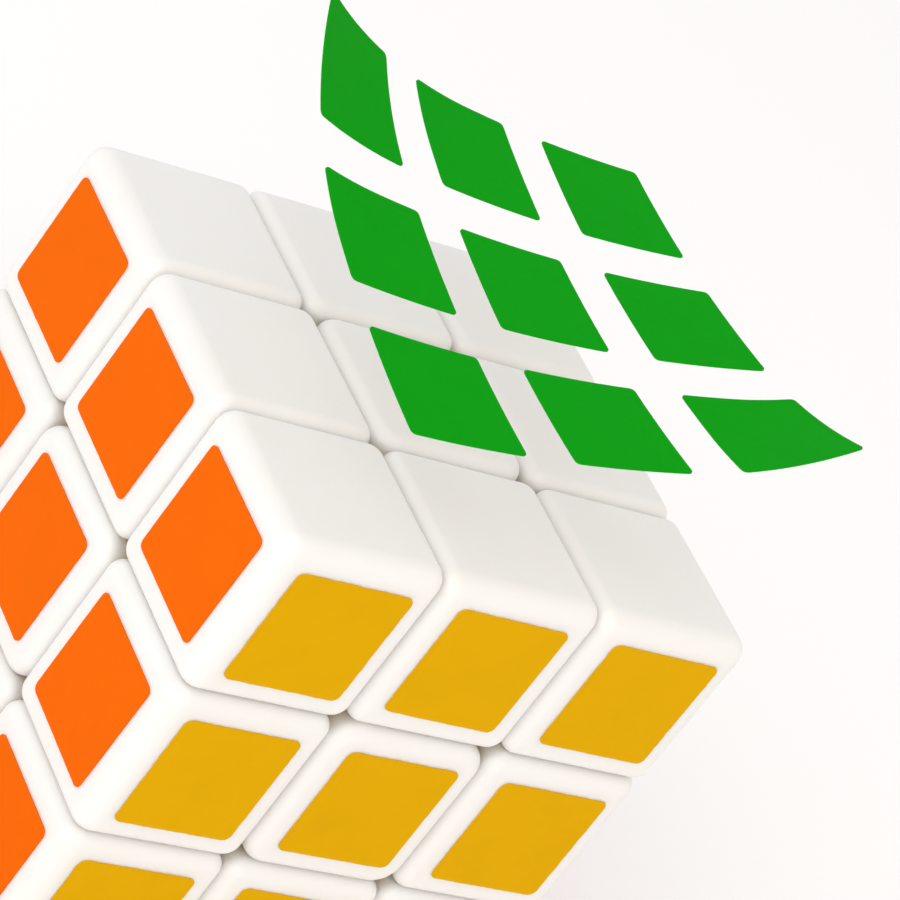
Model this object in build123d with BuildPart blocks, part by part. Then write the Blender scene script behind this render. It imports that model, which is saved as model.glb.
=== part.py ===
from build123d import *
import os
from math import degrees, radians, sin, sqrt, tan

os.makedirs("parts", exist_ok=True)

# ---------------------------------------------------------------- driving dimensions, mm
CUBE = 57.0                  # across the flats of the closed cube
LAYERS = 3                   # layers along each axis
HALF = CUBE / 2
PITCH = CUBE / LAYERS        # one cubie cell
CUT = PITCH / 2              # plane between the middle and an outer layer
GAP = 0.1                    # half of the running gap between two caps
CAP_OUT = CUT - GAP          # side of a cap that belongs to a middle layer
CAP_IN = CUT + GAP           # side of a cap that belongs to an outer layer

WALL = 1.5                   # moulded wall of every cap
CUBE_EDGE_R = 2.0            # rounding along the twelve long edges of the cube
SEAM_R = 1.5                 # shoulder beside each seam
CELL_CORNER_R = 1.9          # plan rounding of a cap where four cells meet
CENTRE_CORNER_R = 3.0        # the same on the six centre caps, which are rounder

# The turning joint: caps stay outside one sphere, feet stay inside it and reach
# under the neighbouring caps, so a turning layer keeps its neighbours in.
CAP_FLOOR_R = 22.7           # underside of every cap
FOOT_TOP_R = 22.4            # top of every foot
FOOT_BOTTOM_R = 13.5         # underside of every foot
FOOT_WALL = 1.5              # moulded wall of a foot, which is open towards the core
FOOT_CUT = 6.0               # plane between two feet
FOOT_OUT = FOOT_CUT - GAP
FOOT_IN = FOOT_CUT + GAP
FIT = 0.05                   # gap of a glued or snapped joint
SHOULDER_R = CAP_FLOOR_R - FIT / 2
PEG_TOP_R = 25.5             # how far a foot's peg rises inside its cap
REACH = 40.0                 # longer than any radius used in the cube

STEM_R = 5.85                # round stem of a centre, which turns between the feet
STEM_BOTTOM = 12.7
HUB_TOP = 24.45              # top of the centre hub, where its cap snaps on
POCKET_R = 4.1               # spring pocket in the hub
POCKET_FLOOR = 14.3
CAP_BASE = HUB_TOP + FIT     # underside of the centre cap
SPIGOT_BOTTOM = 22.9
SPIGOT_WALL = 0.7

CORE_R = 7.5
ARM_R = 4.5
ARM_END = 12.4
ARM_BORE_R = 1.48

SHANK_R = 1.45
SHANK_START = 4.8
HEAD_R = 3.0
HEAD_SEAT = 20.2             # underside of the screw head
HEAD_HEIGHT = 1.9
HEAD_ROUND_R = 0.9
RECESS_WIDTH = 0.75
RECESS_SPAN = 3.4
RECESS_DEPTH = 1.1
HOLE_CLEARANCE = 0.15
WASHER_R = 3.4
WASHER_THICK = 0.5
WIRE_R = 0.35
COIL_R = 3.0                 # middle of the spring wire
COIL_TURNS = 4.5

# The green stickers hover over the up face as one sheet, rolled up at two corners.
STICKER = 13.04              # side of one sticker
STICKER_STEP = 18.56         # sticker to sticker along the lifted sheet
STICKER_THICK = 0.2
STICKER_CORNER_R = 0.5
SHEET_LIFT = 15.0            # lowest line of the roll above the up face
SHEET_SHIFT = 4.8            # lowest line from the cube's axis, towards +X-Y
SHEET_OFF = 2.4              # middle of the sheet from its lowest line, towards -X+Y
SHEET_RISE = 2.7             # degrees, slope along the diagonal that isn't rolled
SHEET_MIDDLE_R = 82.0        # gentle bend across the middle of the sheet
SHEET_MIDDLE = 19.0          # half width of that gentle stretch
SHEET_ROLL_R = 27.0          # tight bend towards the two rolled corners
SHEET_ROLL = 22.0            # length of that bend

CORE_CENTRE = Location((0, 0, HALF))
UPWARDS = (Align.CENTER, Align.CENTER, Align.MIN)
FROM_CORNER = (Align.MIN, Align.MIN, Align.MIN)

# Turns that carry a piece from its modelling place to each place in the cube.
# A centre is modelled facing up, an edge at up-back, a corner at up-back-right.
FACES = {
    "up": Rot(0, 0, 0),
    "down": Rot(X=180),
    "front": Rot(X=90),
    "back": Rot(X=-90),
    "right": Rot(Y=90),
    "left": Rot(Y=-90),
}
EDGES = {
    "up_back": Rot(0, 0, 0),
    "up_left": Rot(Z=90),
    "up_front": Rot(Z=180),
    "up_right": Rot(Z=-90),
    "down_front": Rot(X=180),
    "down_right": Rot(Z=90) * Rot(X=180),
    "down_back": Rot(Z=180) * Rot(X=180),
    "down_left": Rot(Z=-90) * Rot(X=180),
    "back_right": Rot(Y=90),
    "back_left": Rot(Z=90) * Rot(Y=90),
    "front_left": Rot(Z=180) * Rot(Y=90),
    "front_right": Rot(Z=-90) * Rot(Y=90),
}
CORNERS = {
    "up_back_right": Rot(0, 0, 0),
    "up_back_left": Rot(Z=90),
    "up_front_left": Rot(Z=180),
    "up_front_right": Rot(Z=-90),
    "down_front_right": Rot(X=180),
    "down_back_right": Rot(Z=90) * Rot(X=180),
    "down_back_left": Rot(Z=180) * Rot(X=180),
    "down_front_left": Rot(Z=-90) * Rot(X=180),
}


def sides_at(edge, level):
    """How many of an edge's three middle coordinates lie at a level."""
    middle = edge.center()
    return sum(abs(value - level) < 1e-3 for value in (middle.X, middle.Y, middle.Z))


def wedge(x_low, x_high, low, radius):
    """The block above x_low, and above low in y and z, inside a sphere."""
    with BuildPart() as block:
        with Locations((x_low, low, low)):
            Box(x_high - x_low, REACH, REACH, align=FROM_CORNER)
        Sphere(radius, mode=Mode.INTERSECT)
    return block.part


def write(shape, turn, name):
    """Place a piece by its turn about the core and write it under its name."""
    with BuildPart() as placed:
        with Locations(CORE_CENTRE * turn):
            add(shape)
    placed.part.label = name
    export_step(placed.part, f"parts/{name}.step")


# ---------------------------------------------------------------- core
with BuildPart() as core_spider:
    Sphere(CORE_R)
    with Locations(*FACES.values()):
        Cylinder(ARM_R, ARM_END, align=UPWARDS)
    fillet(core_spider.edges().filter_by(GeomType.CIRCLE).group_by(SortBy.DISTANCE)[-1], 0.5)
    with Locations(*[turn * Pos(Z=SHANK_START) for turn in FACES.values()]):
        Cylinder(ARM_BORE_R, ARM_END, align=UPWARDS, mode=Mode.SUBTRACT)

# ---------------------------------------------------------------- screw, washer, spring
with BuildPart() as screw:
    with Locations((0, 0, SHANK_START)):
        Cylinder(SHANK_R, HEAD_SEAT - SHANK_START, align=UPWARDS)
    with Locations((0, 0, HEAD_SEAT)):
        Cylinder(HEAD_R, HEAD_HEIGHT, align=UPWARDS)
    fillet(screw.faces().sort_by(Axis.Z)[-1].edges(), HEAD_ROUND_R)
    chamfer(screw.faces().sort_by(Axis.Z)[0].edges(), SHANK_R / 3)
    with BuildSketch(Plane.XY.offset(HEAD_SEAT + HEAD_HEIGHT)) as cross_recess:
        Rectangle(RECESS_SPAN, RECESS_WIDTH)
        Rectangle(RECESS_WIDTH, RECESS_SPAN)
    extrude(amount=-RECESS_DEPTH, mode=Mode.SUBTRACT)

with BuildPart() as washer:
    with BuildSketch(Plane.XY.offset(HEAD_SEAT - WASHER_THICK)):
        Circle(WASHER_R)
        Circle(SHANK_R + HOLE_CLEARANCE, mode=Mode.SUBTRACT)
    extrude(amount=WASHER_THICK)

coil_low = POCKET_FLOOR + FIT + WIRE_R
coil_high = HEAD_SEAT - WASHER_THICK - FIT - WIRE_R
with BuildPart() as spring:
    with BuildLine() as coil:
        Helix((coil_high - coil_low) / COIL_TURNS, coil_high - coil_low, COIL_R, center=(0, 0, coil_low))
    with BuildSketch(Plane(coil.line @ 0, z_dir=coil.line % 0)):
        Circle(WIRE_R)
    sweep(is_frenet=True)

# ---------------------------------------------------------------- centre hub and cap
with BuildPart() as centre_hub:
    with Locations((0, 0, STEM_BOTTOM)):
        Box(2 * CAP_OUT, 2 * CAP_OUT, HUB_TOP - STEM_BOTTOM, align=UPWARDS)
    fillet(centre_hub.edges().filter_by(Axis.Z), CENTRE_CORNER_R)
    Sphere(CAP_FLOOR_R, mode=Mode.SUBTRACT)
    with Locations((0, 0, STEM_BOTTOM)):
        Cylinder(STEM_R, HUB_TOP - STEM_BOTTOM, align=UPWARDS)
        Cylinder(SHANK_R + HOLE_CLEARANCE, HUB_TOP, align=UPWARDS, mode=Mode.SUBTRACT)
    with Locations((0, 0, POCKET_FLOOR)):
        Cylinder(POCKET_R, HUB_TOP, align=UPWARDS, mode=Mode.SUBTRACT)

with BuildPart() as centre_cap:
    with Locations((0, 0, CAP_BASE)):
        Box(2 * CAP_OUT, 2 * CAP_OUT, HALF - CAP_BASE, align=UPWARDS)
    fillet(centre_cap.edges().filter_by(Axis.Z), CENTRE_CORNER_R)
    fillet(centre_cap.faces().sort_by(Axis.Z)[-1].edges(), SEAM_R)
    with BuildSketch(Plane.XY.offset(CAP_BASE)):
        RectangleRounded(2 * (CAP_OUT - WALL), 2 * (CAP_OUT - WALL), CENTRE_CORNER_R - WALL)
    extrude(amount=HALF - WALL - CAP_BASE, mode=Mode.SUBTRACT)
    with BuildSketch(Plane.XY.offset(SPIGOT_BOTTOM)):
        Circle(POCKET_R - FIT)
        Circle(POCKET_R - FIT - SPIGOT_WALL, mode=Mode.SUBTRACT)
    extrude(amount=HALF - WALL / 2 - SPIGOT_BOTTOM)

# ---------------------------------------------------------------- edge shell and foot
with BuildPart() as edge_shell:
    with Locations((-CAP_OUT, CAP_IN, CAP_IN)):
        Box(2 * CAP_OUT, HALF - CAP_IN, HALF - CAP_IN, align=FROM_CORNER)
    fillet(edge_shell.edges().filter_by(lambda edge: sides_at(edge, HALF) == 2), CUBE_EDGE_R)
    fillet(
        edge_shell.edges().filter_by(
            lambda edge: sides_at(edge, CAP_IN) == 1 and sides_at(edge, HALF) == 0
            and abs(abs(edge.center().X) - CAP_OUT) < 1e-3
        ),
        CELL_CORNER_R,
    )
    fillet(edge_shell.faces().sort_by(Axis.Z)[-1].edges().filter_by(Axis.Y), SEAM_R)
    Sphere(CAP_FLOOR_R, mode=Mode.SUBTRACT)
    with Locations((-(CAP_OUT - WALL), CAP_IN + WALL, CAP_IN + WALL)):
        Box(
            2 * (CAP_OUT - WALL),
            HALF - CAP_IN - 2 * WALL,
            HALF - CAP_IN - 2 * WALL,
            align=FROM_CORNER,
            mode=Mode.SUBTRACT,
        )

with BuildPart() as edge_peg:
    add(wedge(-FOOT_OUT, FOOT_OUT, CAP_IN + FIT, SHOULDER_R))
    add(wedge(-FOOT_OUT, FOOT_OUT, CAP_IN + WALL + FIT, PEG_TOP_R))
    Sphere(FOOT_TOP_R - FOOT_WALL, mode=Mode.SUBTRACT)

with BuildPart() as edge_foot:
    add(wedge(-FOOT_OUT, FOOT_OUT, FOOT_IN, FOOT_TOP_R))
    Sphere(FOOT_BOTTOM_R, mode=Mode.SUBTRACT)
    add(
        wedge(FOOT_WALL - FOOT_OUT, FOOT_OUT - FOOT_WALL, FOOT_IN + FOOT_WALL, FOOT_TOP_R - FOOT_WALL),
        mode=Mode.SUBTRACT,
    )
    add(edge_peg.part)

# ---------------------------------------------------------------- corner shell and foot
with BuildPart() as corner_shell:
    with Locations((CAP_IN, CAP_IN, CAP_IN)):
        Box(HALF - CAP_IN, HALF - CAP_IN, HALF - CAP_IN, align=FROM_CORNER)
    fillet(corner_shell.edges().filter_by(lambda edge: sides_at(edge, HALF) == 2), CUBE_EDGE_R)
    fillet(corner_shell.edges().filter_by(lambda edge: sides_at(edge, CAP_IN) == 2), CELL_CORNER_R)
    fillet(
        corner_shell.faces().sort_by(Axis.Z)[-1].edges().filter_by(Axis.Y).sort_by(Axis.X)[0],
        SEAM_R,
    )
    Sphere(CAP_FLOOR_R, mode=Mode.SUBTRACT)
    with Locations((CAP_IN + WALL, CAP_IN + WALL, CAP_IN + WALL)):
        Box(
            HALF - CAP_IN - 2 * WALL,
            HALF - CAP_IN - 2 * WALL,
            HALF - CAP_IN - 2 * WALL,
            align=FROM_CORNER,
            mode=Mode.SUBTRACT,
        )

with BuildPart() as corner_peg:
    add(wedge(CAP_IN + FIT, REACH, CAP_IN + FIT, SHOULDER_R))
    add(wedge(CAP_IN + WALL + FIT, REACH, CAP_IN + WALL + FIT, PEG_TOP_R))
    Sphere(FOOT_TOP_R - FOOT_WALL, mode=Mode.SUBTRACT)

with BuildPart() as corner_foot:
    add(wedge(FOOT_IN, REACH, FOOT_IN, FOOT_TOP_R))
    Sphere(FOOT_BOTTOM_R, mode=Mode.SUBTRACT)
    add(
        wedge(FOOT_IN + FOOT_WALL, REACH, FOOT_IN + FOOT_WALL, FOOT_TOP_R - FOOT_WALL),
        mode=Mode.SUBTRACT,
    )
    add(corner_peg.part)

# ---------------------------------------------------------------- lifted green stickers


def rolled(along):
    """Level distance from the roll's lowest line of a point that far along the sheet."""
    middle_turn = SHEET_MIDDLE / SHEET_MIDDLE_R
    gentle = min(abs(along), SHEET_MIDDLE)
    tight = abs(along) - gentle
    level = SHEET_MIDDLE_R * sin(gentle / SHEET_MIDDLE_R)
    level += SHEET_ROLL_R * (sin(middle_turn + tight / SHEET_ROLL_R) - sin(middle_turn))
    return level if along > 0 else -level


def seen_from_above(x, y):
    """Where a point of the flat sheet lies in plan once two of its corners are rolled up."""
    across = (x + y) / sqrt(2)
    along = rolled((y - x) / sqrt(2) + SHEET_OFF) - SHEET_SHIFT
    return ((across - along) / sqrt(2), (across + along) / sqrt(2))


roll_plane = Plane(
    origin=(SHEET_SHIFT / sqrt(2), -SHEET_SHIFT / sqrt(2), HALF + SHEET_LIFT),
    x_dir=(-1, 1, 0),
    z_dir=(1, 1, sqrt(2) * tan(radians(SHEET_RISE))),
)
with BuildPart() as lifted_stickers:
    with BuildSketch(roll_plane):
        with BuildLine() as roll:
            gentle_bend = JernArc((0, 0), (1, 0), SHEET_MIDDLE_R, degrees(SHEET_MIDDLE / SHEET_MIDDLE_R))
            JernArc(gentle_bend @ 1, gentle_bend % 1, SHEET_ROLL_R, degrees(SHEET_ROLL / SHEET_ROLL_R))
            mirror(about=Plane.YZ)
        trace(line_width=STICKER_THICK)
    extrude(amount=CUBE, both=True)
    with BuildSketch(Plane.XY.offset(HALF)) as outlines:
        for column in (-STICKER_STEP, 0, STICKER_STEP):
            for row in (-STICKER_STEP, 0, STICKER_STEP):
                with BuildLine():
                    Polyline(
                        seen_from_above(column - STICKER / 2, row - STICKER / 2),
                        seen_from_above(column + STICKER / 2, row - STICKER / 2),
                        seen_from_above(column + STICKER / 2, row + STICKER / 2),
                        seen_from_above(column - STICKER / 2, row + STICKER / 2),
                        close=True,
                    )
                make_face()
        fillet(outlines.vertices(), STICKER_CORNER_R)
    extrude(amount=CUBE, mode=Mode.INTERSECT)

# ---------------------------------------------------------------- write every piece
write(core_spider.part, Rot(0, 0, 0), "core_spider")
write(lifted_stickers.part, Rot(0, 0, 0), "lifted_green_stickers")

for name, fastener in (("tension_screws", screw), ("tension_springs", spring), ("screw_washers", washer)):
    with BuildPart() as group:
        with Locations(*[CORE_CENTRE * turn for turn in FACES.values()]):
            add(fastener.part)
    group.part.label = name
    export_step(group.part, f"parts/{name}.step")

for face, turn in FACES.items():
    write(centre_hub.part, turn, f"centre_{face}_hub")
    write(centre_cap.part, turn, f"centre_{face}_cap")
for place, turn in EDGES.items():
    write(edge_shell.part, turn, f"edge_{place}_shell")
    write(edge_foot.part, turn, f"edge_{place}_foot")
for place, turn in CORNERS.items():
    write(corner_shell.part, turn, f"corner_{place}_shell")
    write(corner_foot.part, turn, f"corner_{place}_foot")
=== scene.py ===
"""A stickered twisty puzzle cube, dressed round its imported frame.

The shells, feet, hubs, core and hardware are the frame's own solids and get their
finishes here. The die-cut stickers are cut, placed and, on the lifted sheet, rolled here.
"""
import logging
import math
import random
from dataclasses import dataclass
from enum import Enum
from typing import Any, Iterator, Optional

import bpy
from mathutils import Matrix, Vector

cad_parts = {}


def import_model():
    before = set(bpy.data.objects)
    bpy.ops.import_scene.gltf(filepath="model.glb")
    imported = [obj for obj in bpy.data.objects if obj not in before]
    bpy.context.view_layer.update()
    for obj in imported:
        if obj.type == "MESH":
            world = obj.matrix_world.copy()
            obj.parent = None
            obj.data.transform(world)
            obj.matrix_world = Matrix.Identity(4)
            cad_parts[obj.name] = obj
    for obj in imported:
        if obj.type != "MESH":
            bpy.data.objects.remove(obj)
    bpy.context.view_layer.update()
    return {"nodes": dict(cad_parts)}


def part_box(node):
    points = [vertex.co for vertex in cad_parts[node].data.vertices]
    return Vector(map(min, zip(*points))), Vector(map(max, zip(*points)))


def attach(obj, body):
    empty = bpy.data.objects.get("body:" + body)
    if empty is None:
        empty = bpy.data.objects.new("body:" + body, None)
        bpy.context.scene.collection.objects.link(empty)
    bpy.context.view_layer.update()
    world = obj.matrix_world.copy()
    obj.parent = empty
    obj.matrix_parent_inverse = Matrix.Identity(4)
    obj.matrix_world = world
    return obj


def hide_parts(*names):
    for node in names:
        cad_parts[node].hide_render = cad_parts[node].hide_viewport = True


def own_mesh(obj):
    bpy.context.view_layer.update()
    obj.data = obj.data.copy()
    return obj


LOG = logging.getLogger("puzzle_cube")
MM = 0.001
WELD = 0.001 * MM        # points of one sticker closer than this are one point
SMOOTH_DEGREES = 35      # a sticker's edge sharper than this stays sharp

Colour = tuple[float, float, float, float]


class Vinyl(Enum):
    """The sticker colours, as sRGB hex values."""

    GREEN = "#009908"
    ORANGE = "#E86400"
    YELLOW = "#D8A400"
    RED = "#BE1420"
    BLUE = "#0F3FA0"
    BLACK = "#1A1A1C"

    @property
    def slot(self) -> str:
        """The record's material slot of this colour."""
        return f"{self.name.lower()}_vinyl"


class Side(Enum):
    """The cube's faces: axis, direction along it, and the sticker colour it wears."""

    FRONT = (1, -1, Vinyl.YELLOW)
    LEFT = (0, -1, Vinyl.ORANGE)
    RIGHT = (0, 1, Vinyl.RED)
    DOWN = (2, -1, Vinyl.BLUE)
    BACK = (1, 1, Vinyl.BLACK)
    UP = (2, 1, None)

    @property
    def axis(self) -> int:
        """0, 1 or 2 for X, Y or Z."""
        return self.value[0]

    @property
    def sign(self) -> int:
        """+1 or -1, the way the face looks along its axis."""
        return self.value[1]

    @property
    def vinyl(self) -> Optional[Vinyl]:
        """The face's sticker colour, or None on the bare face."""
        return self.value[2]


def linear(hex_colour: str) -> Colour:
    """Turn an sRGB hex value into the linear colour that shaders take.

    Args:
        hex_colour: six hex digits after a hash sign.

    Returns:
        Linear red, green, blue and an alpha of 1.
    """
    parts = [int(hex_colour[i:i + 2], 16) / 255 for i in (1, 3, 5)]
    red, green, blue = (c / 12.92 if c <= 0.04045 else ((c + 0.055) / 1.055) ** 2.4 for c in parts)
    return (red, green, blue, 1.0)


def add(tree: bpy.types.NodeTree, kind: str, sockets: Optional[dict[Any, Any]] = None,
        **settings: Any) -> bpy.types.Node:
    """Add a node with its settings, and link or set its inputs.

    Args:
        tree: the shader or geometry tree that takes the node.
        kind: Blender's name for the kind of node.
        sockets: input name or number to a value, or to the output that feeds it.
        settings: the node's own properties.

    Returns:
        The new node.
    """
    node = tree.nodes.new(kind)
    for name, value in settings.items():
        setattr(node, name, value)
    for key, value in (sockets or {}).items():
        if isinstance(value, bpy.types.NodeSocket):
            tree.links.new(value, node.inputs[key])
        else:
            node.inputs[key].default_value = value
    return node


def new_material(name: str) -> tuple[bpy.types.Material, bpy.types.NodeTree]:
    """Make an empty node material.

    Args:
        name: the material's name.

    Returns:
        The material and its cleared node tree.
    """
    material = bpy.data.materials.new(name)
    material.use_nodes = True
    material.node_tree.nodes.clear()
    return material, material.node_tree


# ------------------------------------------------------------------ finishes


@dataclass(frozen=True)
class MouldedPlastic:
    """Injection-moulded ABS or nylon.

    The mould leaves a faint spark grain and slow ripples of gloss. White ABS lets a
    little light in, which softens its shadows. Deep in the seams its colour is painted
    warmer and darker: painted shade, with painted light bounced between two walls.
    """

    name: str
    face_hex: str
    # warm darker colour: faint random clouds on the face, and painted shade deep in the seams
    cloud_and_seam_shade_hex: str
    roughness: float
    grain_mm: float
    grain_depth_mm: float
    ior: float = 1.54          # ABS
    glow: float = 0.5          # share of light that enters the plastic
    glow_depth_mm: float = 1.4
    shade_start_mm: float = 0.9   # below the face, deeper than its rounded outer edges: painted seam shade starts
    shade_full_mm: float = 3.5  # below the face, where the painted seam shade is full
    cloud_mm: float = 9.0      # size of the faint clouds in the colour
    touch_mm: float = 6.0      # size of the patches that hands polish
    ripple_mm: float = 4.0     # spacing of sink marks and flow lines
    ripple_depth_mm: float = 0.05

    def material(self, centre: Vector, half: float) -> bpy.types.Material:
        """Build the node material.

        Args:
            centre: the cube's centre, in metres.
            half: half of the cube's width, in metres.

        Returns:
            The finished material.
        """
        material, tree = new_material(self.name)
        place = add(tree, "ShaderNodeTexCoord").outputs["Object"]
        from_centre = add(tree, "ShaderNodeVectorMath", {0: place, 1: centre}, operation="SUBTRACT")
        sides = add(tree, "ShaderNodeVectorMath", {0: from_centre.outputs[0]}, operation="ABSOLUTE")
        xyz = add(tree, "ShaderNodeSeparateXYZ", {0: sides.outputs[0]})
        wider = add(tree, "ShaderNodeMath", {
            0: xyz.outputs[0], 1: xyz.outputs[1]}, operation="MAXIMUM")
        widest = add(tree, "ShaderNodeMath", {
            0: wider.outputs[0], 1: xyz.outputs[2]}, operation="MAXIMUM")
        # painted seam shade: how deep a point lies in a seam, nothing on the faces and rounded
        # outer edges
        painted_seam_shade = add(tree, "ShaderNodeMapRange", {
            "Value": widest.outputs[0],
            "From Min": half - self.shade_start_mm * MM,
            "From Max": half - self.shade_full_mm * MM,
        }, interpolation_type="SMOOTHSTEP")
        cloud = add(tree, "ShaderNodeTexNoise", {
            "Vector": place, "Scale": 1 / (self.cloud_mm * MM), "Detail": 3.0, "Roughness": 0.55})
        tone = add(tree, "ShaderNodeMapRange", {
            "Value": cloud.outputs[0], "From Min": 0.3, "From Max": 0.7,
            "To Min": 0.0, "To Max": 0.10})
        face = add(tree, "ShaderNodeMix", {
            "Factor": tone.outputs[0], 6: linear(self.face_hex), 7: linear(self.cloud_and_seam_shade_hex)},
            data_type="RGBA")
        # painted shade and bounced light: the warm darker colour takes over deeper in the seams
        colour = add(tree, "ShaderNodeMix", {
            "Factor": painted_seam_shade.outputs[0], 6: face.outputs[2], 7: linear(self.cloud_and_seam_shade_hex)},
            data_type="RGBA")
        # hands polish the plastic unevenly, in small patches
        polish = add(tree, "ShaderNodeTexNoise", {
            "Vector": place, "Scale": 1 / (self.touch_mm * MM), "Detail": 5.0, "Roughness": 0.6,
            "Distortion": 0.4})
        rough = add(tree, "ShaderNodeMapRange", {
            "Value": polish.outputs[0], "From Min": 0.25, "From Max": 0.75,
            "To Min": self.roughness - 0.06, "To Max": self.roughness + 0.08})
        grain = add(tree, "ShaderNodeTexNoise", {
            "Vector": place, "Scale": 1 / (self.grain_mm * MM), "Detail": 2.0})
        # sink marks and flow lines of the moulding, slow and very shallow
        ripple = add(tree, "ShaderNodeTexNoise", {
            "Vector": place, "Scale": 1 / (self.ripple_mm * MM), "Detail": 1.0})
        waves = add(tree, "ShaderNodeBump", {
            "Height": ripple.outputs[0], "Strength": 0.35,
            "Distance": self.ripple_depth_mm * MM})
        bump = add(tree, "ShaderNodeBump", {
            "Height": grain.outputs[0], "Strength": 0.5, "Distance": self.grain_depth_mm * MM,
            "Normal": waves.outputs[0]})
        shader = add(tree, "ShaderNodeBsdfPrincipled", {
            "Base Color": colour.outputs[2], "Roughness": rough.outputs[0], "IOR": self.ior,
            "Subsurface Weight": self.glow, "Subsurface Scale": self.glow_depth_mm * MM,
            "Subsurface Radius": (1.0, 0.92, 0.8), "Normal": bump.outputs[0]})
        add(tree, "ShaderNodeOutputMaterial", {"Surface": shader.outputs[0]})
        return material


@dataclass(frozen=True)
class DieCutVinyl:
    """Satin PVC film, printed through, die-cut and rubbed down by hand.

    The eye gets a flat, full colour with a soft sheen, a fine orange peel from the
    calender and hair-thin scratches that only show in the gloss.
    """

    vinyl: Vinyl
    roughness: float = 0.5
    ior: float = 1.53          # PVC
    shine: float = 0.02        # a matt lacquer takes most of the gloss away
    worn_share: float = 0.88   # brightness that is left where the film is worn
    cloud_mm: float = 7.0      # size of the worn patches
    streak_mm: float = 1.4     # length scale of the scratches
    thinness: float = 14.0     # how many times longer than wide a scratch is
    peel_mm: float = 0.5       # spacing of the orange peel
    peel_depth_mm: float = 0.01

    def material(self) -> bpy.types.Material:
        """Build the node material and return it."""
        material, tree = new_material(f"die_cut_vinyl_{self.vinyl.name.lower()}")
        place = add(tree, "ShaderNodeTexCoord").outputs["Object"]
        base = linear(self.vinyl.value)
        worn = tuple(self.worn_share * c for c in base[:3]) + (1.0,)
        cloud = add(tree, "ShaderNodeTexNoise", {
            "Vector": place, "Scale": 1 / (self.cloud_mm * MM), "Detail": 4.0, "Roughness": 0.6})
        share = add(tree, "ShaderNodeMapRange", {
            "Value": cloud.outputs[0], "From Min": 0.45, "From Max": 0.8, "To Max": 0.35})
        colour = add(tree, "ShaderNodeMix", {
            "Factor": share.outputs[0], 6: base, 7: worn}, data_type="RGBA")
        # scratches: a noise pulled out to long thin streaks, a tenth of a millimetre wide
        streaks = add(tree, "ShaderNodeMapping", {
            "Vector": place, "Rotation": (0.4, 0.7, 0.9),
            "Scale": (1.0, self.thinness, self.thinness)})
        scratch = add(tree, "ShaderNodeTexNoise", {
            "Vector": streaks.outputs[0], "Scale": 1 / (self.streak_mm * MM), "Detail": 2.0})
        rough = add(tree, "ShaderNodeMapRange", {
            "Value": scratch.outputs[0], "From Min": 0.35, "From Max": 0.7,
            "To Min": self.roughness - 0.05, "To Max": self.roughness + 0.12})
        peel = add(tree, "ShaderNodeTexNoise", {
            "Vector": place, "Scale": 1 / (self.peel_mm * MM), "Detail": 2.0})
        bump = add(tree, "ShaderNodeBump", {
            "Height": peel.outputs[0], "Strength": 0.5, "Distance": self.peel_depth_mm * MM})
        shader = add(tree, "ShaderNodeBsdfPrincipled", {
            "Base Color": colour.outputs[2], "Roughness": rough.outputs[0], "IOR": self.ior,
            "Specular IOR Level": self.shine, "Normal": bump.outputs[0]})
        add(tree, "ShaderNodeOutputMaterial", {"Surface": shader.outputs[0]})
        return material


@dataclass(frozen=True)
class GlueSide:
    """The white back of the film with its dried glue: matt, slightly clouded."""

    name: str = "dried_glue_on_white_film"
    film_hex: str = "#F3F1EA"
    glue_hex: str = "#E3DDCC"
    roughness: float = 0.7
    blotch_mm: float = 2.0     # size of the blotches in which the glue dries
    blotch_depth_mm: float = 0.02

    def material(self) -> bpy.types.Material:
        """Build the node material and return it."""
        material, tree = new_material(self.name)
        place = add(tree, "ShaderNodeTexCoord").outputs["Object"]
        blotch = add(tree, "ShaderNodeTexNoise", {
            "Vector": place, "Scale": 1 / (self.blotch_mm * MM), "Detail": 4.0, "Roughness": 0.6})
        colour = add(tree, "ShaderNodeMix", {
            "Factor": blotch.outputs[0], 6: linear(self.film_hex), 7: linear(self.glue_hex)},
            data_type="RGBA")
        bump = add(tree, "ShaderNodeBump", {
            "Height": blotch.outputs[0], "Strength": 0.4,
            "Distance": self.blotch_depth_mm * MM})
        shader = add(tree, "ShaderNodeBsdfPrincipled", {
            "Base Color": colour.outputs[2], "Roughness": self.roughness,
            "Normal": bump.outputs[0]})
        add(tree, "ShaderNodeOutputMaterial", {"Surface": shader.outputs[0]})
        return material


@dataclass(frozen=True)
class SmallHardwareSteel:
    """Steel of the screws, springs and washers: plated, drawn or punched.

    The eye gets a hard metal gleam, broken up by fine tool marks.
    """

    name: str
    hex_colour: str
    roughness: float
    mark_mm: float             # spacing of the tool marks
    mark_depth_mm: float = 0.01

    def material(self) -> bpy.types.Material:
        """Build the node material and return it."""
        material, tree = new_material(self.name)
        place = add(tree, "ShaderNodeTexCoord").outputs["Object"]
        marks = add(tree, "ShaderNodeTexNoise", {
            "Vector": place, "Scale": 1 / (self.mark_mm * MM), "Detail": 3.0})
        rough = add(tree, "ShaderNodeMapRange", {
            "Value": marks.outputs[0], "From Min": 0.3, "From Max": 0.7,
            "To Min": self.roughness - 0.08, "To Max": self.roughness + 0.12})
        tint = tuple(c * 0.8 for c in linear(self.hex_colour)[:3]) + (1.0,)
        colour = add(tree, "ShaderNodeMix", {
            "Factor": marks.outputs[0], 6: linear(self.hex_colour), 7: tint}, data_type="RGBA")
        bump = add(tree, "ShaderNodeBump", {
            "Height": marks.outputs[0], "Strength": 0.4, "Distance": self.mark_depth_mm * MM})
        shader = add(tree, "ShaderNodeBsdfPrincipled", {
            "Base Color": colour.outputs[2], "Roughness": rough.outputs[0], "Metallic": 1.0,
            "Normal": bump.outputs[0]})
        add(tree, "ShaderNodeOutputMaterial", {"Surface": shader.outputs[0]})
        return material


# ------------------------------------------------------------------ geometry node trees


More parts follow.
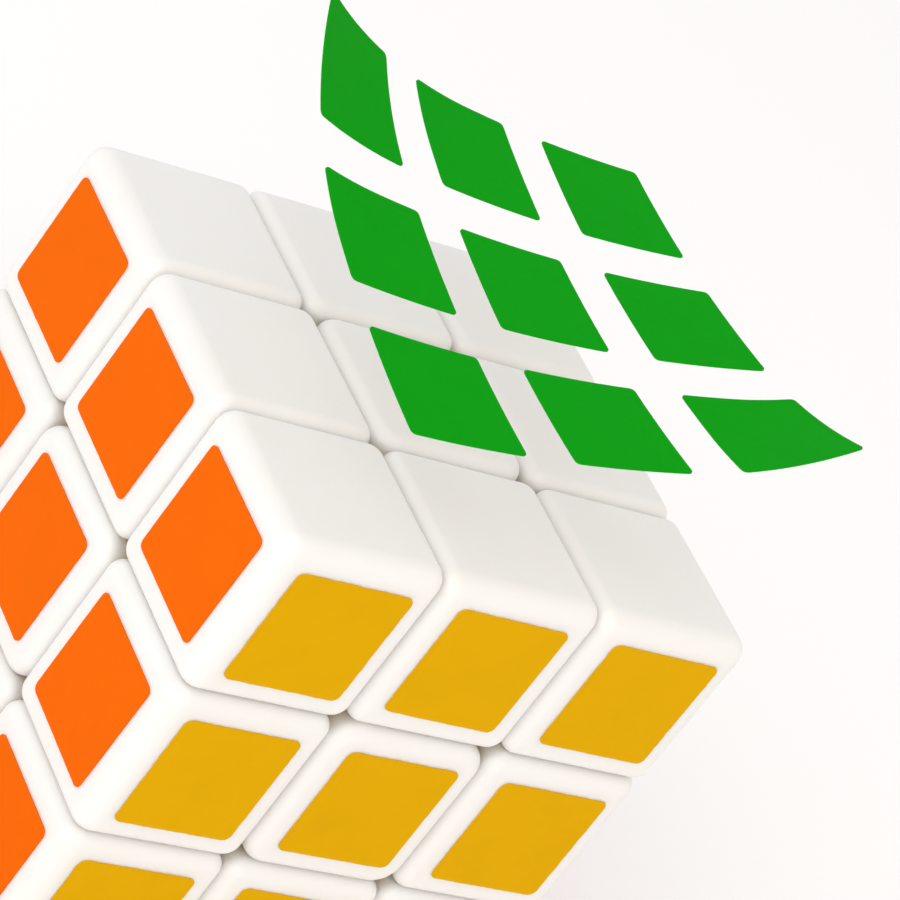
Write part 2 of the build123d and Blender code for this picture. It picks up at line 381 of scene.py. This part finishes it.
class Recipe:
    """A geometry node tree with named inputs, run once on an empty mesh."""

    def __init__(self, name: str, inputs: dict[str, str]) -> None:
        """Make the tree and its inputs.

        Args:
            name: the tree's name.
            inputs: input name to Blender's socket type, in order.
        """
        self.tree = bpy.data.node_groups.new(name, "GeometryNodeTree")
        self.sockets = {
            key: self.tree.interface.new_socket(key, in_out="INPUT", socket_type=kind).identifier
            for key, kind in inputs.items()
        }
        self.tree.interface.new_socket(
            "Geometry", in_out="OUTPUT", socket_type="NodeSocketGeometry")
        self.inputs = add(self.tree, "NodeGroupInput").outputs

    def add(self, kind: str, sockets: Optional[dict[Any, Any]] = None,
            **settings: Any) -> bpy.types.Node:
        """Add a node to this tree; see the function of the same name."""
        return add(self.tree, kind, sockets, **settings)

    def sum(self, operation: str, first: Any, second: Any = 0.0) -> bpy.types.NodeSocket:
        """Add one step of arithmetic.

        Args:
            operation: Blender's name for it, such as "MULTIPLY".
            first: a number or an output.
            second: the same, where the operation takes two.

        Returns:
            The output with the result.
        """
        return self.add("ShaderNodeMath", {0: first, 1: second}, operation=operation).outputs[0]

    def vector(self, operation: str, first: Any,
               second: Any = (0.0, 0.0, 0.0)) -> bpy.types.NodeSocket:
        """Add one step of vector arithmetic.

        Args:
            operation: Blender's name for it, such as "SUBTRACT".
            first: a vector or an output.
            second: the same, where the operation takes two.

        Returns:
            The output with the result.
        """
        step = self.add("ShaderNodeVectorMath", {0: first, 1: second}, operation=operation)
        return step.outputs[0]

    def wander(self, place: bpy.types.NodeSocket, seed: bpy.types.NodeSocket,
               size: bpy.types.NodeSocket, detail: float) -> bpy.types.NodeSocket:
        """Add a noise that gives each point a vector between about -1 and 1 on each axis.

        Args:
            place: the point.
            seed: what sets this noise apart from others.
            size: how far apart its bumps are, in metres.
            detail: how many finer noises lie on it.

        Returns:
            The output with the vector.
        """
        noise = self.add("ShaderNodeTexNoise", {
            "Vector": place, "W": seed, "Scale": self.sum("DIVIDE", 1.0, size), "Detail": detail,
            "Roughness": 0.7}, noise_dimensions="4D").outputs["Color"]
        centred = self.vector("SUBTRACT", noise, (0.5, 0.5, 0.5))
        return self.vector("MULTIPLY", centred, (2.0, 2.0, 2.0))

    def close(self, geometry: bpy.types.NodeSocket) -> None:
        """End the tree in Realize Instances and Set Material, and join it to the output.

        Args:
            geometry: what the tree has made, with its glue side marked.
        """
        real = self.add("GeometryNodeRealizeInstances", {"Geometry": geometry})
        front = self.add("GeometryNodeSetMaterial", {
            "Geometry": real.outputs[0], "Material": self.inputs["Material"]})
        mark = self.add("GeometryNodeInputNamedAttribute", {"Name": GLUE_MARK}, data_type="BOOLEAN")
        dressed = self.add("GeometryNodeSetMaterial", {
            "Geometry": front.outputs[0], "Selection": mark.outputs[0],
            "Material": self.inputs["Back Material"]})
        self.add("NodeGroupOutput", {0: dressed.outputs[0]})

    def cut(self, name: str, values: dict[str, Any]) -> bpy.types.Object:
        """Run the tree and keep its result as a plain mesh.

        Args:
            name: the name of the new piece.
            values: input name to its value.

        Returns:
            The new object, at the origin.
        """
        piece = bpy.data.objects.new(name, bpy.data.meshes.new(name))
        bpy.context.scene.collection.objects.link(piece)
        modifier = piece.modifiers.new("recipe", "NODES")
        modifier.node_group = self.tree
        for key, value in values.items():
            modifier[self.sockets[key]] = value
        bpy.context.view_layer.update()
        drawn = piece.evaluated_get(bpy.context.evaluated_depsgraph_get())
        mesh = bpy.data.meshes.new_from_object(drawn)
        piece.modifiers.remove(modifier)
        piece.data = mesh
        mesh.name = name
        while mesh.materials and mesh.materials[0] is None:
            mesh.materials.pop(index=0)
        mesh.attributes.remove(mesh.attributes[GLUE_MARK])
        mesh.polygons.foreach_set("use_smooth", [True] * len(mesh.polygons))
        mesh.set_sharp_from_angle(angle=math.radians(SMOOTH_DEGREES))
        return piece


STICKER_INPUTS = {
    "Side": "NodeSocketFloat",
    "Corner Radius": "NodeSocketFloat",
    "Thickness": "NodeSocketFloat",
    "Steps": "NodeSocketInt",
    "Raggedness": "NodeSocketFloat",
    "Rag Size": "NodeSocketFloat",
    "Waviness": "NodeSocketFloat",
    "Wave Size": "NodeSocketFloat",
    "Seed": "NodeSocketFloat",
    "Material": "NodeSocketMaterial",
    "Back Material": "NodeSocketMaterial",
}
SHEET_INPUTS = {
    "Step": "NodeSocketFloat",
    "Across": "NodeSocketInt",
    "Middle Radius": "NodeSocketFloat",
    "Middle Reach": "NodeSocketFloat",
    "Roll Radius": "NodeSocketFloat",
    "Off": "NodeSocketFloat",
    "Rise": "NodeSocketFloat",
    "Low Point": "NodeSocketVector",
}
GLUE_MARK = "glue_side"
SHEET_SEED = 3          # of the quarter turns that the lifted stickers are laid in
RIM = 0.999             # share of the way out at which a point is on the rim
LUMP_FALL = 4.0         # power by which the lumps die away towards the rim


@dataclass(frozen=True)
class StickerCut:
    """How one batch of stickers was cut from its film, in millimetres."""

    side: float
    corner: float
    thick: float = 0.15
    rag: float = 0.06          # how far the worn die lets the outline stray
    rag_size: float = 0.9
    wave: float = 0.02         # lumps left by the thumb that rubbed the film down
    wave_size: float = 5.0
    steps: int = 40            # squares across the mesh of one sticker

    def values(self, seed: float, film: bpy.types.Material,
               glue: bpy.types.Material) -> dict[str, Any]:
        """Give the inputs of the sticker's tree.

        Args:
            seed: what sets its outline apart from the others.
            film: the material of its face and rim.
            glue: the material of its back.

        Returns:
            Input name to value.
        """
        return {
            "Side": self.side * MM, "Corner Radius": self.corner * MM, "Thickness": self.thick * MM,
            "Steps": self.steps, "Raggedness": self.rag * MM, "Rag Size": self.rag_size * MM,
            "Waviness": self.wave * MM, "Wave Size": self.wave_size * MM, "Seed": seed,
            "Material": film, "Back Material": glue}


def die_cut_sticker() -> Recipe:
    """Build the tree of one sticker, flat, centred on the origin, with its glue side at z = 0.

    Returns:
        The recipe, with the inputs of STICKER_INPUTS.
    """
    recipe = Recipe("die_cut_sticker", STICKER_INPUTS)
    given = recipe.inputs
    count = recipe.sum("ADD", given["Steps"], 1.0)
    grid = recipe.add("GeometryNodeMeshGrid", {
        "Size X": given["Side"], "Size Y": given["Side"], "Vertices X": count, "Vertices Y": count})
    place = recipe.add("GeometryNodeInputPosition").outputs[0]
    half = recipe.sum("MULTIPLY", given["Side"], 0.5)
    straight = recipe.sum("SUBTRACT", half, given["Corner Radius"])
    limit = recipe.add("ShaderNodeCombineXYZ", {0: straight, 1: straight}).outputs[0]

    # each corner square of the grid is drawn in to a quarter disc
    folded = recipe.vector("ABSOLUTE", place)
    past = recipe.vector("MAXIMUM", recipe.vector("SUBTRACT", folded, limit), (0.0, 0.0, 0.0))
    parts = recipe.add("ShaderNodeSeparateXYZ", {0: past}).outputs
    reach = recipe.add("ShaderNodeVectorMath", {0: past}, operation="LENGTH").outputs["Value"]
    share = recipe.sum("DIVIDE", recipe.sum("MAXIMUM", parts[0], parts[1]), reach)
    drawn = recipe.add("ShaderNodeVectorMath", {0: past, "Scale": share}, operation="SCALE")
    corner = recipe.vector("ADD", recipe.vector("MINIMUM", folded, limit), drawn.outputs[0])
    rounded = recipe.vector("MULTIPLY", corner, recipe.vector("SIGN", place))

    # the worn die leaves a ragged outline, and the inside of the film lies in low lumps
    ends = recipe.add("ShaderNodeSeparateXYZ", {0: folded}).outputs
    outwards = recipe.sum("DIVIDE", recipe.sum("MAXIMUM", ends[0], ends[1]), half)
    on_rim = recipe.sum("GREATER_THAN", outwards, RIM)
    inside = recipe.sum("SUBTRACT", 1.0, recipe.sum("POWER", outwards, LUMP_FALL))
    rags = recipe.wander(place, given["Seed"], given["Rag Size"], 3.0)
    lumps = recipe.wander(place, given["Seed"], given["Wave Size"], 1.0)
    rag = recipe.sum("MULTIPLY", given["Raggedness"], on_rim)
    wave = recipe.sum("MULTIPLY", given["Waviness"], inside)
    sideways = recipe.add("ShaderNodeCombineXYZ", {0: rag, 1: rag}).outputs[0]
    upwards = recipe.add("ShaderNodeCombineXYZ", {2: wave}).outputs[0]
    strays = recipe.vector("MULTIPLY", rags, sideways)
    rises = recipe.vector("MULTIPLY", lumps, upwards)
    target = recipe.vector("ADD", rounded, recipe.vector("ADD", strays, rises))

    film = recipe.add("GeometryNodeSetPosition", {"Geometry": grid.outputs[0], "Position": target})
    face = recipe.add("GeometryNodeExtrudeMesh", {
        "Mesh": film.outputs[0], "Offset": (0.0, 0.0, 1.0), "Offset Scale": given["Thickness"],
        "Individual": False})
    back = recipe.add("GeometryNodeFlipFaces", {"Mesh": film.outputs[0]})
    marked = recipe.add("GeometryNodeStoreNamedAttribute", {
        "Geometry": back.outputs[0], "Name": GLUE_MARK, "Value": True},
        data_type="BOOLEAN", domain="FACE")
    both = recipe.add("GeometryNodeJoinGeometry")
    recipe.tree.links.new(marked.outputs[0], both.inputs[0])
    recipe.tree.links.new(face.outputs[0], both.inputs[0])
    whole = recipe.add("GeometryNodeMergeByDistance", {
        "Geometry": both.outputs[0], "Distance": WELD})
    recipe.close(whole.outputs[0])
    return recipe


def sheet_of_stickers(sticker: Recipe) -> Recipe:
    """Build the tree of a sheet of stickers that is rolled up at two opposite corners.

    The sheet bends about one diagonal only, gently across its middle and tightly beyond,
    so the film is curved like a cylinder and nowhere stretched.

    Args:
        sticker: the recipe of one sticker.

    Returns:
        The recipe, with the inputs of STICKER_INPUTS and SHEET_INPUTS.
    """
    recipe = Recipe("rolled_sticker_sheet", STICKER_INPUTS | SHEET_INPUTS)
    given = recipe.inputs
    one = recipe.add("GeometryNodeGroup", node_tree=sticker.tree)
    for socket in one.inputs:
        recipe.tree.links.new(given[socket.name], socket)
    gaps = recipe.sum("SUBTRACT", given["Across"], 1.0)
    span = recipe.sum("MULTIPLY", given["Step"], gaps)
    places = recipe.add("GeometryNodeMeshGrid", {
        "Size X": span, "Size Y": span,
        "Vertices X": given["Across"], "Vertices Y": given["Across"]})
    quarter = recipe.add("FunctionNodeRandomValue", {
        4: 0, 5: 3, "Seed": SHEET_SEED}, data_type="INT").outputs[2]
    turn = recipe.add("ShaderNodeCombineXYZ", {2: recipe.sum("MULTIPLY", quarter, math.pi / 2)})
    laid = recipe.add("GeometryNodeInstanceOnPoints", {
        "Points": places.outputs[0], "Instance": one.outputs[0], "Rotation": turn.outputs[0]})
    flat = recipe.add("GeometryNodeRealizeInstances", {"Geometry": laid.outputs[0]})

    x, y, z = recipe.add("ShaderNodeSeparateXYZ", {
        0: recipe.add("GeometryNodeInputPosition").outputs[0]}).outputs
    across = recipe.sum("MULTIPLY", recipe.sum("ADD", x, y), -math.sqrt(0.5))
    along = recipe.sum("MULTIPLY", recipe.sum("SUBTRACT", y, x), math.sqrt(0.5))
    along = recipe.sum("ADD", along, given["Off"])
    length = recipe.sum("ABSOLUTE", along)
    gentle = recipe.sum("MINIMUM", length, given["Middle Reach"])
    tight = recipe.sum("SUBTRACT", length, gentle)
    first = recipe.sum("DIVIDE", gentle, given["Middle Radius"])
    last = recipe.sum("ADD", first, recipe.sum("DIVIDE", tight, given["Roll Radius"]))

    def swing(operation: str) -> bpy.types.NodeSocket:
        """Add the gentle and the tight arc's share of one coordinate.

        Args:
            operation: "SINE" for the level distance, "COSINE" for the negative height.

        Returns:
            The output with that coordinate, measured from each arc's own centre.
        """
        at_first = recipe.sum(operation, first)
        at_last = recipe.sum(operation, last)
        radius = recipe.sum("SUBTRACT", given["Roll Radius"], z)
        tight_part = recipe.sum("MULTIPLY", radius, at_last)
        difference = recipe.sum("SUBTRACT", given["Middle Radius"], given["Roll Radius"])
        return recipe.sum("ADD", tight_part, recipe.sum("MULTIPLY", difference, at_first))

    level = recipe.sum("MULTIPLY", swing("SINE"), recipe.sum("SIGN", along))
    height = recipe.sum("SUBTRACT", given["Middle Radius"], swing("COSINE"))
    rolled = recipe.add("ShaderNodeCombineXYZ", {0: level, 1: across, 2: height})
    # turned so that level runs along (-1, 1), and tilted so that the fold rises along (1, 1)
    tilted = recipe.add("ShaderNodeVectorRotate", {
        "Vector": rolled.outputs[0], "Angle": given["Rise"]}, rotation_type="X_AXIS")
    turned = recipe.add("ShaderNodeVectorRotate", {
        "Vector": tilted.outputs[0], "Angle": math.radians(135)}, rotation_type="Z_AXIS")
    put = recipe.add("ShaderNodeVectorMath", {0: turned.outputs[0], 1: given["Low Point"]})
    sheet = recipe.add("GeometryNodeSetPosition", {
        "Geometry": flat.outputs[0], "Position": put.outputs[0]})
    recipe.close(sheet.outputs[0])
    return recipe


# ------------------------------------------------------------------ the cube


@dataclass(frozen=True)
class Cell:
    """One small cube of the puzzle, by its place -1, 0 or 1 along X, Y and Z."""

    x: int
    y: int
    z: int

    @property
    def body(self) -> str:
        """The body that moves this small cube, such as corner_up_front_left."""
        pairs = (("down", "up"), self.z), (("front", "back"), self.y), (("left", "right"), self.x)
        words = [pair[(place + 1) // 2] for pair, place in pairs if place]
        return "_".join(({1: "centre", 2: "edge", 3: "corner"}[len(words)], *words))


@dataclass(frozen=True)
class CubeBox:
    """The closed cube's centre and half width, read from its six centre caps."""

    centre: Vector
    half: float
    layers: int = 3

    @classmethod
    def from_frame(cls) -> "CubeBox":
        """Measure the caps of the centres and return the box."""
        low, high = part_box("centre_left_cap")[0].x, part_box("centre_right_cap")[1].x
        floor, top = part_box("centre_down_cap")[0].z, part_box("centre_up_cap")[1].z
        front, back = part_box("centre_front_cap")[0].y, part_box("centre_back_cap")[1].y
        centre = Vector(((low + high) / 2, (front + back) / 2, (floor + top) / 2))
        return cls(centre, (high - low) / 2)

    @property
    def pitch(self) -> float:
        """Width of one cell."""
        return 2 * self.half / self.layers

    def cells_on(self, side: Side) -> Iterator[Cell]:
        """Give the nine cells that show on a side.

        Args:
            side: the face of the cube.

        Returns:
            The cells, one after another.
        """
        for first in (-1, 0, 1):
            for second in (-1, 0, 1):
                place = [first, second]
                place.insert(side.axis, side.sign)
                yield Cell(*place)

    def seat(self, side: Side, cell: Cell) -> Matrix:
        """Give the place of a flat piece on one cell of a side.

        Args:
            side: the face that it lies on.
            cell: the cell that it belongs to.

        Returns:
            The turn and shift that take a piece lying on the XY plane there.
        """
        outward = Vector([side.sign if axis == side.axis else 0 for axis in range(3)])
        upward = Vector((0, 0, 1)) if side.axis != 2 else Vector((0, side.sign, 0))
        turn = Matrix((upward.cross(outward), upward, outward)).transposed().to_4x4()
        place = Vector((cell.x, cell.y, cell.z)) * self.pitch
        place[side.axis] = side.sign * self.half
        return Matrix.Translation(self.centre + place) @ turn


@dataclass
class MouldedParts:
    """The plastic pieces: 26 caps and shells outside, feet, hubs and the core inside."""

    box: CubeBox
    nodes: dict[str, bpy.types.Object]
    # each plastic's second colour clouds its faces a little and is painted shade deep in the seams,
    # so the deep inner parts and the core take it as painted shade
    shell: MouldedPlastic = MouldedPlastic(
        "moulded_white_abs_satin", "#EAEAE9", "#EADDC8", roughness=0.34, grain_mm=0.35,
        grain_depth_mm=0.006)
    # parts that no hand touches keep the duller skin of the mould and slide on each other
    inner: MouldedPlastic = MouldedPlastic(
        "moulded_white_abs_inner", "#E0D8CA", "#CDBDA4", roughness=0.45, grain_mm=0.3,
        grain_depth_mm=0.01)
    core: MouldedPlastic = MouldedPlastic(
        "moulded_nylon_core", "#D9D4C8", "#CFC8BA", roughness=0.55, grain_mm=0.4,
        grain_depth_mm=0.015, ior=1.53, glow=0.2)

    def dress(self) -> None:
        """Give every plastic node its finish."""
        shell = self.shell.material(self.box.centre, self.box.half)
        inner = self.inner.material(self.box.centre, self.box.half)
        core = self.core.material(self.box.centre, self.box.half)
        for name, node in self.nodes.items():
            if name.endswith(("_shell", "_cap")):
                dress_node(node, shell)
            elif name.endswith(("_foot", "_hub")):
                dress_node(node, inner)
            elif name == "core_spider":
                dress_node(node, core)


@dataclass
class Hardware:
    """The six screws with their washers and springs, which set the tension."""

    nodes: dict[str, bpy.types.Object]
    screw: SmallHardwareSteel = SmallHardwareSteel(
        "zinc_plated_screw_steel", "#C3C1BC", roughness=0.32, mark_mm=0.25)
    spring: SmallHardwareSteel = SmallHardwareSteel(
        "drawn_spring_steel", "#A9A8A6", roughness=0.25, mark_mm=0.1)
    washer: SmallHardwareSteel = SmallHardwareSteel(
        "punched_washer_steel", "#BDBBB6", roughness=0.38, mark_mm=0.3)

    def dress(self) -> None:
        """Give the screws, springs and washers their finishes."""
        dress_node(self.nodes["tension_screws"], self.screw.material())
        dress_node(self.nodes["tension_springs"], self.spring.material())
        dress_node(self.nodes["screw_washers"], self.washer.material())


@dataclass
class FaceStickers:
    """The 45 stickers of the five faces that still wear theirs, put on by hand."""

    box: CubeBox
    recipe: Recipe
    cut: StickerCut = StickerCut(side=13.2, corner=0.7)
    # the front's came from a blunter die
    front_cut: StickerCut = StickerCut(side=13.4, corner=0.8, rag=0.13, rag_size=1.2)
    glue_mm: float = 0.02      # glue film between the plastic and the vinyl
    off_mm: float = 0.12       # how far a hand places it off the middle
    twist_degrees: float = 0.5
    seed: int = 11

    def build(self, films: dict[Vinyl, bpy.types.Material],
              glue: bpy.types.Material) -> list[bpy.types.Object]:
        """Cut and lay the stickers of every side.

        Args:
            films: the vinyl of each colour.
            glue: the material of their backs.

        Returns:
            The sticker pieces.
        """
        hand = random.Random(self.seed)
        pieces = []
        for side in Side:
            if side.vinyl:
                cut = self.front_cut if side is Side.FRONT else self.cut
                for cell in self.box.cells_on(side):
                    values = cut.values(hand.uniform(0, 100), films[side.vinyl], glue)
                    pieces.append(self.lay(side, cell, values, hand))
        return pieces

    def lay(self, side: Side, cell: Cell, values: dict[str, Any],
            hand: random.Random) -> bpy.types.Object:
        """Cut one sticker and lay it on its cell.

        Args:
            side: the face it goes on.
            cell: the small cube it goes on.
            values: the inputs of its tree.
            hand: the source of its small errors of place.

        Returns:
            The sticker, riding on that small cube's body.
        """
        piece = self.recipe.cut(f"{side.vinyl.name.lower()}_sticker_{cell.body}", values)
        off = self.off_mm * MM
        slip = Matrix.Translation(
            (hand.uniform(-off, off), hand.uniform(-off, off), self.glue_mm * MM))
        twist = Matrix.Rotation(math.radians(hand.uniform(-1, 1) * self.twist_degrees), 4, "Z")
        piece.data.transform(self.box.seat(side, cell) @ slip @ twist)
        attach(piece, cell.body)
        side.vinyl.slot
        return piece


@dataclass
class LiftedSheet:
    """The nine green stickers, which hover as one sheet over the bare face."""

    box: CubeBox
    recipe: Recipe
    cut: StickerCut = StickerCut(side=13.04, corner=0.5, rag=0.03)
    step_mm: float = 18.56
    lift_mm: float = 15.0      # lowest line of the roll above the bare face
    shift_mm: float = 4.8      # that line from the cube's axis, towards +X-Y
    off_mm: float = 2.4        # middle of the sheet from that line, towards -X+Y
    rise_degrees: float = 2.7  # slope along the diagonal that isn't rolled
    middle_radius_mm: float = 82.0
    middle_reach_mm: float = 19.0
    roll_radius_mm: float = 27.0
    seed: float = 4.0
    pressed_flat: float = 0.03  # share of its height that is left when it is pressed down

    def build(self, film: bpy.types.Material, glue: bpy.types.Material) -> bpy.types.Object:
        """Cut, lay out and roll the sheet.

        Args:
            film: the green vinyl.
            glue: the material of its back.

        Returns:
            The sheet, riding on its own body.
        """
        aside = self.shift_mm * math.sqrt(0.5) * MM
        lift = self.box.half + (self.lift_mm - self.cut.thick / 2) * MM
        piece = self.recipe.cut("green_sticker_sheet", self.cut.values(self.seed, film, glue) | {
            "Step": self.step_mm * MM, "Across": self.box.layers,
            "Middle Radius": self.middle_radius_mm * MM, "Middle Reach": self.middle_reach_mm * MM,
            "Roll Radius": self.roll_radius_mm * MM, "Off": self.off_mm * MM,
            "Rise": math.radians(-self.rise_degrees),
            "Low Point": tuple(self.box.centre + Vector((aside, -aside, lift)))})
        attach(piece, "sticker_sheet")
        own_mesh(piece)
        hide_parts("lifted_green_stickers")
        Vinyl.GREEN.slot
        return piece


def dress_node(node: bpy.types.Object, material: bpy.types.Material) -> None:
    """Put a material in every slot of a carried-over solid.

    Args:
        node: the solid.
        material: its finish.
    """
    for slot in node.material_slots:
        slot.material = material


# ------------------------------------------------------------------ studio


@dataclass(frozen=True)
class SoftBox:
    """One rectangular soft light, placed from the cube's centre in metres."""

    name: str
    place: tuple[float, float, float]
    width: float
    height: float
    watts: float
    hex_colour: str


@dataclass
class Studio:
    """A pale sweep of floor, one big soft key light, a fill, and the camera."""

    box: CubeBox
    aim_mm: tuple[float, float, float] = (10.76, 3.58, 48.83)
    azimuth_degrees: float = 43.94   # the camera stands that far to the left of straight ahead
    elevation_degrees: float = 26.29
    distance_mm: float = 459.1
    lean_degrees: float = 37.53      # the camera is tipped that far about its own line of sight
    lens_mm: float = 186.63
    sensor_mm: float = 36.0
    floor_hex: str = "#FFFFFF"
    front_hex: str = "#FFF6ED"
    back_hex: str = "#F4F9FF"
    sky_strength: float = 0.9
    floor_drop_mm: float = 0.2       # the cube stands on its lowest stickers
    floor_reach: float = 4.0         # half of the floor's width, in metres
    key: SoftBox = SoftBox("key_light", (-0.66, -0.40, 0.52), 1.1, 0.9, 4.1, "#FFFCF8")
    fill: SoftBox = SoftBox("fill_light", (0.5, -0.75, 0.6), 1.3, 1.0, 0.6, "#FFF4E8")

    def build(self) -> None:
        """Set the floor, the lights, the camera and the picture's tone curve."""
        self.floor()
        self.sky()
        self.hang(self.key)
        self.hang(self.fill)
        self.camera()
        bpy.context.scene.view_settings.view_transform = "Standard"

    def floor(self) -> None:
        """Lay a matt pale floor under the cube."""
        reach = self.floor_reach
        mesh = bpy.data.meshes.new("studio_floor")
        level = self.box.centre.z - self.box.half - self.floor_drop_mm * MM
        mesh.from_pydata([(-reach, -reach, level), (reach, -reach, level), (reach, reach, level),
                          (-reach, reach, level)], [], [(0, 1, 2, 3)])
        floor = bpy.data.objects.new("studio_floor", mesh)
        bpy.context.scene.collection.objects.link(floor)
        material, tree = new_material("matt_paper_sweep")
        shader = add(tree, "ShaderNodeBsdfPrincipled", {
            "Base Color": linear(self.floor_hex), "Roughness": 0.9, "Specular IOR Level": 0.1})
        add(tree, "ShaderNodeOutputMaterial", {"Surface": shader.outputs[0]})
        mesh.materials.append(material)

    def sky(self) -> None:
        """Fill the room with even white light, a little warmer in front of the cube."""
        world = bpy.data.worlds.new("soft_room")
        world.use_nodes = True
        tree = world.node_tree
        tree.nodes.clear()
        way = add(tree, "ShaderNodeSeparateXYZ", {
            0: add(tree, "ShaderNodeTexCoord").outputs["Generated"]})
        backwards = add(tree, "ShaderNodeMapRange", {
            "Value": way.outputs[1], "From Min": -1.0, "From Max": 1.0})
        colour = add(tree, "ShaderNodeMix", {
            "Factor": backwards.outputs[0], 6: linear(self.front_hex), 7: linear(self.back_hex)},
            data_type="RGBA")
        light = add(tree, "ShaderNodeBackground", {
            "Color": colour.outputs[2], "Strength": self.sky_strength})
        add(tree, "ShaderNodeOutputWorld", {"Surface": light.outputs[0]})
        bpy.context.scene.world = world

    def hang(self, lamp: SoftBox) -> None:
        """Hang a soft box, turned towards the cube.

        Args:
            lamp: its place, size, power and colour.
        """
        light = bpy.data.lights.new(lamp.name, "AREA")
        light.shape = "RECTANGLE"
        light.size = lamp.width
        light.size_y = lamp.height
        light.energy = lamp.watts
        light.color = linear(lamp.hex_colour)[:3]
        hung = bpy.data.objects.new(lamp.name, light)
        hung.location = self.box.centre + Vector(lamp.place)
        hung.rotation_euler = Vector(lamp.place).to_track_quat("Z", "Y").to_euler()
        bpy.context.scene.collection.objects.link(hung)

    def camera(self) -> None:
        """Stand the camera at its distance and angles, tipped about its line of sight."""
        azimuth = math.radians(self.azimuth_degrees)
        elevation = math.radians(self.elevation_degrees)
        backwards = Vector((-math.sin(azimuth) * math.cos(elevation),
                            -math.cos(azimuth) * math.cos(elevation), math.sin(elevation)))
        lens = bpy.data.cameras.new("camera")
        lens.lens = self.lens_mm
        lens.sensor_width = self.sensor_mm
        lens.clip_start = 10 * MM
        camera = bpy.data.objects.new("camera", lens)
        bpy.context.scene.collection.objects.link(camera)
        upright = backwards.to_track_quat("Z", "Y").to_matrix().to_4x4()
        lean = Matrix.Rotation(math.radians(self.lean_degrees), 4, "Z")
        stand = (Vector(self.aim_mm) + backwards * self.distance_mm) * MM
        camera.matrix_world = Matrix.Translation(stand) @ upright @ lean
        bpy.context.scene.camera = camera


# ------------------------------------------------------------------ putting it together


def main() -> None:
    """Build and dress every piece in order, and report each one."""
    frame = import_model()
    box = CubeBox.from_frame()
    LOG.info("cube box: centre %s, half width %.5f", tuple(box.centre), box.half)

    Studio(box).build()
    LOG.info("studio: floor, lights and camera")

    MouldedParts(box, frame["nodes"]).dress()
    LOG.info("moulded parts dressed")
    Hardware(frame["nodes"]).dress()
    LOG.info("hardware dressed")

    films = {vinyl: DieCutVinyl(vinyl).material() for vinyl in Vinyl}
    glue = GlueSide().material()
    sticker = die_cut_sticker()
    stickers = FaceStickers(box, sticker).build(films, glue)
    for piece in stickers:
        LOG.info("%s: %d faces", piece.name, len(piece.data.polygons))
    sheet = LiftedSheet(box, sheet_of_stickers(sticker)).build(films[Vinyl.GREEN], glue)
    LOG.info("%s: %d faces", sheet.name, len(sheet.data.polygons))


if __name__ == "__main__":
    logging.basicConfig(level=logging.INFO, format="%(message)s")
    main()
